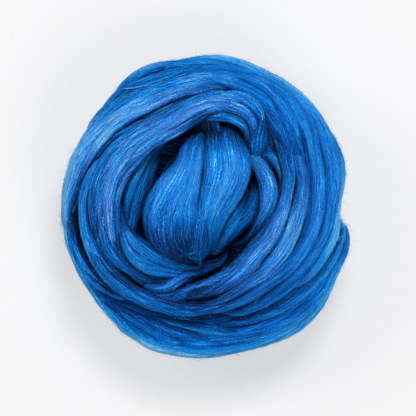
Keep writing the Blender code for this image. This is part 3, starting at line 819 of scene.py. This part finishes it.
# ---- Packed wool ----
# The tangle under the turns, which shows only as darkness in the gaps between them. It is the same combed
# wool, pressed together by the winding and painted darker as painted shade: a flattened ball with a ring
# round it, and the bun's seat, which lies so deep in the ball that its wool is painted dark grey as painted
# shade.
# x, y, bottom, top, half_x, half_y
CORE = (0, 0, 0.4, 38, 58, 61)
BUN_SEAT = (-9, 1, 20, 62, 17, 26)
PACKED_RING_RADIUS, PACKED_RING_HALF_WIDTH, PACKED_RING_HEIGHT = 48.0, 12.0, 31.0
# How much darker the packed wool is painted: painted shade.
PACKED_PAINTED_SHADE = -0.15


def round_solid(x, y, bottom, top, half_x, half_y, rows=40, columns=80):
    """A flattened ball: a half circle from pole to pole, swept round and stretched on each axis."""
    tall = np.linspace(0.02, np.pi - 0.02, rows)[:, None]
    turn = np.linspace(0, 2 * np.pi, columns, endpoint=False)[None, :]
    out = np.sin(tall)
    up = (top + bottom) / 2 - (top - bottom) / 2 * np.cos(tall) + 0 * turn
    points = np.stack([x + half_x * out * np.cos(turn), y + half_y * out * np.sin(turn), up], -1)
    return points.reshape(-1, 3), *ring_faces(rows, columns)


def packed_ring(rows=120, columns=40):
    """A torus under the turns: a circle of the ring's half width swept round at its radius."""
    turn = np.linspace(0, 2 * np.pi, rows, endpoint=False)[:, None]
    section = np.linspace(0, 2 * np.pi, columns, endpoint=False)[None, :]
    radius = PACKED_RING_RADIUS + PACKED_RING_HALF_WIDTH * np.cos(section)
    up = PACKED_RING_HEIGHT + PACKED_RING_HALF_WIDTH * np.sin(section) + 0 * turn
    points = np.stack([radius * np.cos(turn), radius * np.sin(turn), up], -1)
    return points.reshape(-1, 3), *ring_faces(rows, columns, True)


points, corners, starts = joined([round_solid(*CORE), packed_ring()])
packed = add_piece("packed_wool", points, corners, starts, COMBED_MERINO)
lie = np.column_stack([points[:, 0] + 0.4 * points[:, 2], points[:, 1] + points[:, 2]])
dress(packed, lie[corners], np.tile([PACKED_PAINTED_SHADE, 0.0, 1.0], (len(points), 1)))
add_piece("bun_seat", *round_solid(*BUN_SEAT), wool_fibre("painted_shade_wool", "#12243C", 0.9))

# ---- Loose strands ----
# Single locks of a few fibres of the same wool that lie on the turns' skins, drift across them and catch
# the light. Three-sided tubes, joined into one piece for each part of the ball.
STRAND_KNOTS = 16
# Lengths, drift and sway across the combing and radii in millimetres, and the part of the section covered.
STRAND = {"length": (30, 95), "drift": 1.3, "sway": 0.35, "radius": (0.05, 0.11), "shares": (0.04, 0.46)}
# How bright a strand is against its turn, mean and spread, and how much of the turn's contrast it keeps.
STRAND_BRIGHT, STRAND_CONTRAST = (0.02, 0.11), 0.7
# The map of the highest skin: the side of its cells in millimetres, and how many lie along each side.
COVER_CELL, COVER_CELLS = 2.0, 100
# A fibre shows no deeper than this under the highest skin, except this far out on the ball's side.
SEEN_DEPTH, SEEN_SHARE = 3.0, 0.9


def tubes(paths, outward, radius):
    """Three-sided tubes along many paths at once, each a triangle round every knot, closed at both ends.

    A triangle is spanned by the outward direction and the direction across, and narrows at the ends.
    """
    count, knots = paths.shape[:2]
    forward = unit(np.gradient(paths, axis=1))
    across = unit(np.cross(forward, outward))
    up = np.cross(across, forward)
    taper = np.minimum(1.0, np.minimum(np.arange(knots), np.arange(knots)[::-1]) / 2.0 + 0.2)
    size = (radius[:, None] * taper)[..., None, None]
    angle = np.radians([90.0, 210.0, 330.0])[:, None]
    ring = np.cos(angle) * across[..., None, :] + np.sin(angle) * up[..., None, :]
    corners, starts = ring_faces(knots, 3)
    tube = np.arange(count)[:, None]
    corners, starts = corners + tube * knots * 3, starts + tube * len(corners)
    return (paths[..., None, :] + size * ring).reshape(-1, 3), corners.ravel(), starts.ravel()


def cover_cell(places):
    """Row and column of the cell of the cover map that each place lies in."""
    return tuple((places[:, :2] / COVER_CELL + COVER_CELLS / 2).astype(int).T)


def cover_map():
    """The height of the highest skin over each cell of the table, from points spread over every turn."""
    heights = np.full((COVER_CELLS, COVER_CELLS), -1.0)
    for turn in turns.values():
        along, share = np.meshgrid(np.arange(0, turn.length, 1.0), np.linspace(0, 0.5, 40))
        points = turn.surface(along, share)[0].reshape(-1, 3)
        np.maximum.at(heights, cover_cell(points), points[:, 2])
    return heights


COVER = cover_map()


def shows(places):
    """Whether a fibre at each place is seen: near the highest skin over it, or on the ball's side."""
    return (places[:, 2] > COVER[cover_cell(places)] - SEEN_DEPTH) | (ball_share(places) > SEEN_SHARE)


def strands_on(turn, density, seed):
    """Paths over a turn's skin, with outward directions, radii, dye with painted light and shade, and
    contrast.

    Each starts anywhere, follows the combing and drifts and sways a little across it. A sine lifts it off.
    """
    rng = np.random.default_rng(seed)
    low, high = STRAND["shares"]
    each = (max(2, int(density * turn.length * turn.around * (high - low) / 100)), 1)
    length = np.minimum(rng.uniform(*STRAND["length"], each), 0.9 * turn.length)
    start = rng.uniform(0.03, 0.97, each) * turn.length - length / 2
    t = np.linspace(0, 1, STRAND_KNOTS)[None, :]
    along = np.clip(start + length * t, 0.01 * turn.length, 0.99 * turn.length) + 0.4 * t
    drift = rng.normal(0, STRAND["drift"], each) * (t - 0.5)
    waves = t * rng.uniform(0.6, 2.0, each) + rng.random(each)
    sway = rng.normal(0, STRAND["sway"], each) * np.sin(2 * np.pi * waves)
    share = rng.uniform(low, high, each) + (drift + sway) / turn.around
    share = 2 * share - turn.combed_share(along, share) + TWIST * (along - turn.length / 2) / turn.around
    rises = t * rng.uniform(0.5, 2, each) + rng.random(each)
    lift = 0.02 + 0.16 * rng.random(each) * (1 + np.sin(2 * np.pi * rises))
    points, outward, height, dye_and_painted_light = turn.surface(along, share, lift)
    dye_and_painted_light = np.stack([tone(turn, points, share, height, dye_and_painted_light[..., 0]), dye_and_painted_light[..., 1]], -1)
    seen = shows(points[:, STRAND_KNOTS // 2])
    radius, grain = rng.uniform(*STRAND["radius"], seen.sum()), np.full(seen.sum(), turn.grain)
    return points[seen], outward[seen], radius, dye_and_painted_light[seen], grain


def fibre_piece(name, shapes, lowest, lie, dye_and_painted_light):
    """One mesh of fibres, none under lowest millimetres. lie and the dye with its painted light and shade
    hold a row for every point.
    """
    points, corners, starts = joined(shapes)
    points[:, 2] = np.maximum(points[:, 2], lowest)
    dress(add_piece(name, points, corners, starts, COMBED_MERINO), lie[corners], dye_and_painted_light)


def strand_piece(name, wanted, density, seed):
    """One mesh of all the strands on the turns whose names are wanted."""
    found = [strands_on(turns[key], density, seed + k) for k, key in enumerate(wanted)]
    paths, outward, radius, dye_and_painted_light, grain = (np.concatenate(part) for part in zip(*found))
    rng = np.random.default_rng(seed + 77)
    count, knots = paths.shape[:2]
    shade = dye_and_painted_light[..., 0] + (grain * rng.normal(*STRAND_BRIGHT, count))[:, None]
    lilac = dye_and_painted_light[..., 1] * rng.uniform(0, 2, (count, 1))
    shades = np.stack([shade, lilac, STRAND_CONTRAST * grain[:, None] + 0 * shade], -1)
    along = np.repeat(np.arange(knots), 3)[None, :] * 3.5 + np.arange(count)[:, None] * 97.3
    lie = np.stack([along, 0.3 * np.arange(count)[:, None] + 0 * along], -1).reshape(-1, 2)
    fibre_piece(name, [tubes(paths, outward, radius)], 0.02, lie, np.repeat(shades, 3, 1).reshape(-1, 3))


STRANDS = (
    # piece, strands to 100 mm2 of skin, table
    ("bun_strands", 8.4, BUN),
    ("upper_left_strands", 7.2, UPPER_LEFT_BAND),
    ("outer_left_strands", 7.2, OUTER_LEFT_BAND),
    ("right_sheet_strands", 6.0, RIGHT_SHEET),
    ("inner_right_strands", 7.2, INNER_RIGHT),
    ("deep_strands", 6.0, DEEP_WOOL),
    ("lower_left_strands", 7.2, LOWER_LEFT),
    ("lower_sheet_strands", 6.0, LOWER_SHEET),
    ("rim_strands", 3.6, RIM_TURNS),
    ("belly_strands", 1.8, BELLY_RINGS),
)
for number, (name, density, table) in enumerate(STRANDS):
    strand_piece(name, [row[0] for row in table], density, 2000 + 100 * number)

# ---- Flyaway fibres and fuzz ----
# Single fibres of the same wool that have worked loose and stand off the skin. Three-sided tubes again:
# most curve off the outer turns, and a few curl into loops at the bun's lower end.
HAIR_KNOTS = 7
# Lengths, spread of headings, bend, rises and radii in millimetres and radians.
FLYAWAY = {"length": (2, 9), "spread": 0.5, "bend": 1.2, "rise": (0.1, 0.8), "radius": (0.03, 0.055)}
FUZZ = {"length": (1.5, 6), "spread": 0.5, "bend": 1.1, "rise": (0.1, 0.5), "radius": (0.035, 0.06)}
# How bright a hair is against its turn, mean and spread: the mean is painted light for the light that
# reaches round a loose fibre, the spread a random tone. Then its contrast, and how many are kept inside the
# ball's outline.
HAIR_PAINTED_LIGHT, HAIR_CONTRAST, INNER_CHANCE = (0.28, 0.12), 0.5, 0.4


def hairs_on(turn, count, seed, low, high, kind):
    """Paths that leave a turn's skin: each heads near the combing, bends steadily aside and rises a little.

    Its heading turns by the bend over its length, and its rise is a sine's first quarter or half.
    """
    rng = np.random.default_rng(seed)
    each = (count, 1)
    along = rng.uniform(0.03, 0.97, each) * turn.length
    share = rng.uniform(low, high, each)
    start, outward, height, dye_and_painted_light = turn.surface(along, share, 0.05)
    bright = tone(turn, start, share, height, dye_and_painted_light[..., 0])[:, 0]
    forward = unit(turn.surface(along + 1.0, share, 0.05)[0] - start)
    aside = unit(np.cross(forward, outward))
    t = np.linspace(0, 1, HAIR_KNOTS)[None, :]
    step = rng.uniform(*kind["length"], each) / (HAIR_KNOTS - 1)
    heading = rng.choice([0, np.pi], each) + rng.normal(0, kind["spread"], each)
    heading = heading + rng.normal(0, kind["bend"], each) * t
    heading = heading + 0.25 * np.sin(2 * np.pi * (2 * t + rng.random(each)))
    far = np.cumsum(np.cos(heading) * step, axis=1)[..., None]
    wide = np.cumsum(np.sin(heading) * step, axis=1)[..., None]
    rise = rng.uniform(*kind["rise"], each) * np.sin(np.pi * t * rng.choice([0.5, 1.0], each))
    paths = start + far * forward + wide * aside + rise[..., None] * outward
    edge = ball_share(start[:, 0]) > EDGE_START
    kept = shows(start[:, 0]) & (edge | (rng.random(count) < INNER_CHANCE))
    outward = np.broadcast_to(outward, paths.shape)
    return paths[kept], outward[kept], rng.uniform(*kind["radius"], kept.sum()), bright[kept]


HAIRS = (
    # turn, count, low and high share of its section
    ("sheet_outer", 300, 0.1, 0.45), ("sheet_rim", 300, 0.02, 0.4), ("sheet_middle", 160, 0.1, 0.4),
    ("sheet_point", 90, 0.1, 0.4), ("rim_right", 240, 0.1, 0.42), ("lobe_outer", 40, 0.05, 0.4),
    ("left_cyan", 60, 0.05, 0.45), ("left_lilac", 40, 0.1, 0.4), ("rim_strip", 90, 0.02, 0.45),
    ("rim_left", 260, 0.08, 0.42), ("outer_ring", 80, 0.1, 0.4), ("lower_base", 120, 0.1, 0.45),
    ("lower_rim", 60, 0.02, 0.45), ("lower_bulge", 40, 0.05, 0.45), ("band_base", 80, 0.1, 0.4),
    ("hook_outer", 30, 0.1, 0.4), ("hook_inner", 50, 0.02, 0.4), ("bun_left", 70, 0.1, 0.4),
    ("bun_right", 60, 0.1, 0.4), ("deep_right", 40, 0.1, 0.4), ("deep_left", 60, 0.1, 0.4),
    ("under_twist", 40, 0.1, 0.4), ("crescent", 50, 0.1, 0.4), ("fan_middle", 40, 0.1, 0.4),
    ("fan_top", 40, 0.1, 0.4),
)
# Fuzz: hairs to 100 mm2 of skin, and the part of every turn's section that they cover.
FUZZ_DENSITY, FUZZ_SHARES = 11.0, (0.05, 0.45)
LOOP_KNOTS, LOOP_RADIUS, LOOP_BRIGHTNESS = 20, 0.08, 0.55
# Strays: single hairs that lie across the turns, as places in the photo. They lie this far over the skin,
# and outside the ball no lower than this.
STRAY_LIFT, STRAY_LOWEST = 0.5, 38.0
STRAYS = (
    ((160, 298), (157, 306), (155, 316), (157, 328), (158, 338), (161, 348)),
    ((155, 316), (160, 326), (161, 338), (165, 349)), ((152, 321), (154, 328), (158, 331), (159, 338)),
    ((172, 338), (170, 344), (174, 349), (179, 347)), ((322, 162), (327, 155), (333, 151), (344, 149)),
    ((296, 112), (302, 118), (303, 126), (308, 133)), ((272, 84), (279, 92), (283, 102), (284, 114)),
    ((170, 306), (176, 309), (176, 316), (170, 319)), ((246, 92), (254, 90), (262, 96), (266, 106)),
)
LOOPS = (
    # x and y in the photo, height, radius in millimetres, turns, sideways stretch
    (194, 256.5, 66.5, 2.4, 1.1, 1.3), (196, 255, 67, 2.2, 0.6, 1.5), (202, 247, 68.0, 3.2, 0.35, 0.5),
    (217, 246, 66.0, 2.4, 0.3, 1.4), (212, 258, 62.0, 2.6, 0.3, 1.5), (189, 250, 67.5, 2.6, 0.7, 1.4),
    (199, 262, 64.5, 1.8, 0.9, 1.2), (205, 253, 66.5, 2.2, 0.6, 1.2), (184, 257, 66.0, 1.6, 0.5, 1.5),
    (195, 252, 67.5, 3.4, 0.8, 0.8),
)


def loop_path(x, y, height, radius, winds, stretch, rng):
    """A fibre that circles as its middle drifts, so that its loops never quite close."""
    t = np.linspace(0, 1, LOOP_KNOTS)
    angle = 2 * np.pi * (winds * t + rng.random())
    size = radius * (0.85 + 0.5 * np.abs(t - 0.5))
    middle = picture_place(np.array([x]), np.array([y]), np.array([height]))[0]
    drift = (t - 0.5)[:, None] * rng.normal(0, 2.0, 2)
    flat = middle + drift + np.column_stack([stretch * size * np.cos(angle), size * np.sin(angle)])
    return np.column_stack([flat, height + 0.4 * np.sin(2 * np.pi * t)])


def stray_path(places):
    """A hair through places in the photo: the cubic through them, laid just over the highest skin."""
    places = np.array(places, float)
    flat = picture_place(*places.T, np.full(len(places), 50.0))
    rows = np.column_stack([flat, np.maximum(COVER[cover_cell(flat)], STRAY_LOWEST)])
    at = np.linspace(0, np.linalg.norm(np.diff(rows, axis=0), axis=1).sum(), LOOP_KNOTS)
    path = smooth_route(rows, at)[0]
    path[:, 2] = np.maximum(path[:, 2], COVER[cover_cell(path)] - 1.0) + STRAY_LIFT
    return path


def hair_piece(name, found, curled=()):
    """One mesh of loose fibres, painted brighter than the wool they left for the light that reaches round
    them.
    """
    paths, outward, radius, dye_and_painted_light = (np.concatenate(part) for part in zip(*found))
    rng = np.random.default_rng(5100)
    shapes = [tubes(paths, outward, radius)]
    for path in curled:
        upward = np.broadcast_to([0.0, 0.0, 1.0], path[None].shape)
        shapes.append(tubes(path[None], upward, np.array([LOOP_RADIUS])))
    bright = dye_and_painted_light + rng.normal(*HAIR_PAINTED_LIGHT, len(dye_and_painted_light))
    bright = np.append(bright, np.full(len(curled), LOOP_BRIGHTNESS))
    points = np.repeat([HAIR_KNOTS * 3, LOOP_KNOTS * 3], [len(dye_and_painted_light), len(curled)])
    shades = np.repeat(np.column_stack([bright, 0 * bright, HAIR_CONTRAST + 0 * bright]), points, 0)
    lie = [np.arange(points.sum()) * 0.9, np.repeat(np.arange(len(points)) * 0.7, points)]
    fibre_piece(name, shapes, 0.05, np.column_stack(lie), shades)


flyaways = []
for number, (key, count, low, high) in enumerate(HAIRS):
    flyaways.append(hairs_on(turns[key], count, 5000 + number, low, high, FLYAWAY))
loop_chance = np.random.default_rng(5150)
curled = [loop_path(*row, loop_chance) for row in LOOPS] + [stray_path(places) for places in STRAYS]
hair_piece("flyaway_fibres", flyaways, curled)
fuzz = []
low, high = FUZZ_SHARES
for number, turn in enumerate(turns.values()):
    count = int(FUZZ_DENSITY * turn.length * turn.around * (high - low) / 100)
    fuzz.append(hairs_on(turn, count, 5200 + number, low, high, FUZZ))
hair_piece("fuzz", fuzz)

# ---- Studio ----
# A white table under soft light from three square lamps and the sky, so bright that the ball hardly darkens
# it. Its faint glow stands for the light that a white room throws back.
table_material = new_material(
    "white_table", "#8C8C8C", 0.9, Specular_IOR_Level=0.1, Emission_Color=linear_colour("#EDEDEE"),
    Emission_Strength=0.595,
)
floor_mesh = bpy.data.meshes.new("table")
floor_mesh.from_pydata([(-3, -3, 0), (3, -3, 0), (3, 3, 0), (-3, 3, 0)], [], [(0, 1, 2, 3)])
floor_mesh.materials.append(table_material)
floor = bpy.data.objects.new("table", floor_mesh)
bpy.context.scene.collection.objects.link(floor)
floor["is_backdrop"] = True

world = bpy.data.worlds.new("studio")
bpy.context.scene.world = world
world.use_nodes = True
fill(world.node_tree.nodes["Background"], Color=linear_colour("#F6F6F8"), Strength=0.4)

# name, place in metres, side of the square lamp in metres, power in watts
LAMPS = (
    ("key", (0.18, 0.72, 1.3), 0.45, 18.0),
    ("left_window", (-0.95, 0.45, 0.9), 0.6, 7.0),
    ("low_fill", (0.5, -0.8, 1.2), 0.9, 11.0),
)
for name, place, size, power in LAMPS:
    lamp_data = bpy.data.lights.new(name, "AREA")
    lamp_data.size = size
    lamp_data.energy = power
    lamp = bpy.data.objects.new(name, lamp_data)
    lamp.location = place
    lamp.rotation_euler = (Vector((0, 0, 0.04)) - lamp.location).to_track_quat("-Z", "Y").to_euler()
    bpy.context.scene.collection.objects.link(lamp)

low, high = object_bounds()
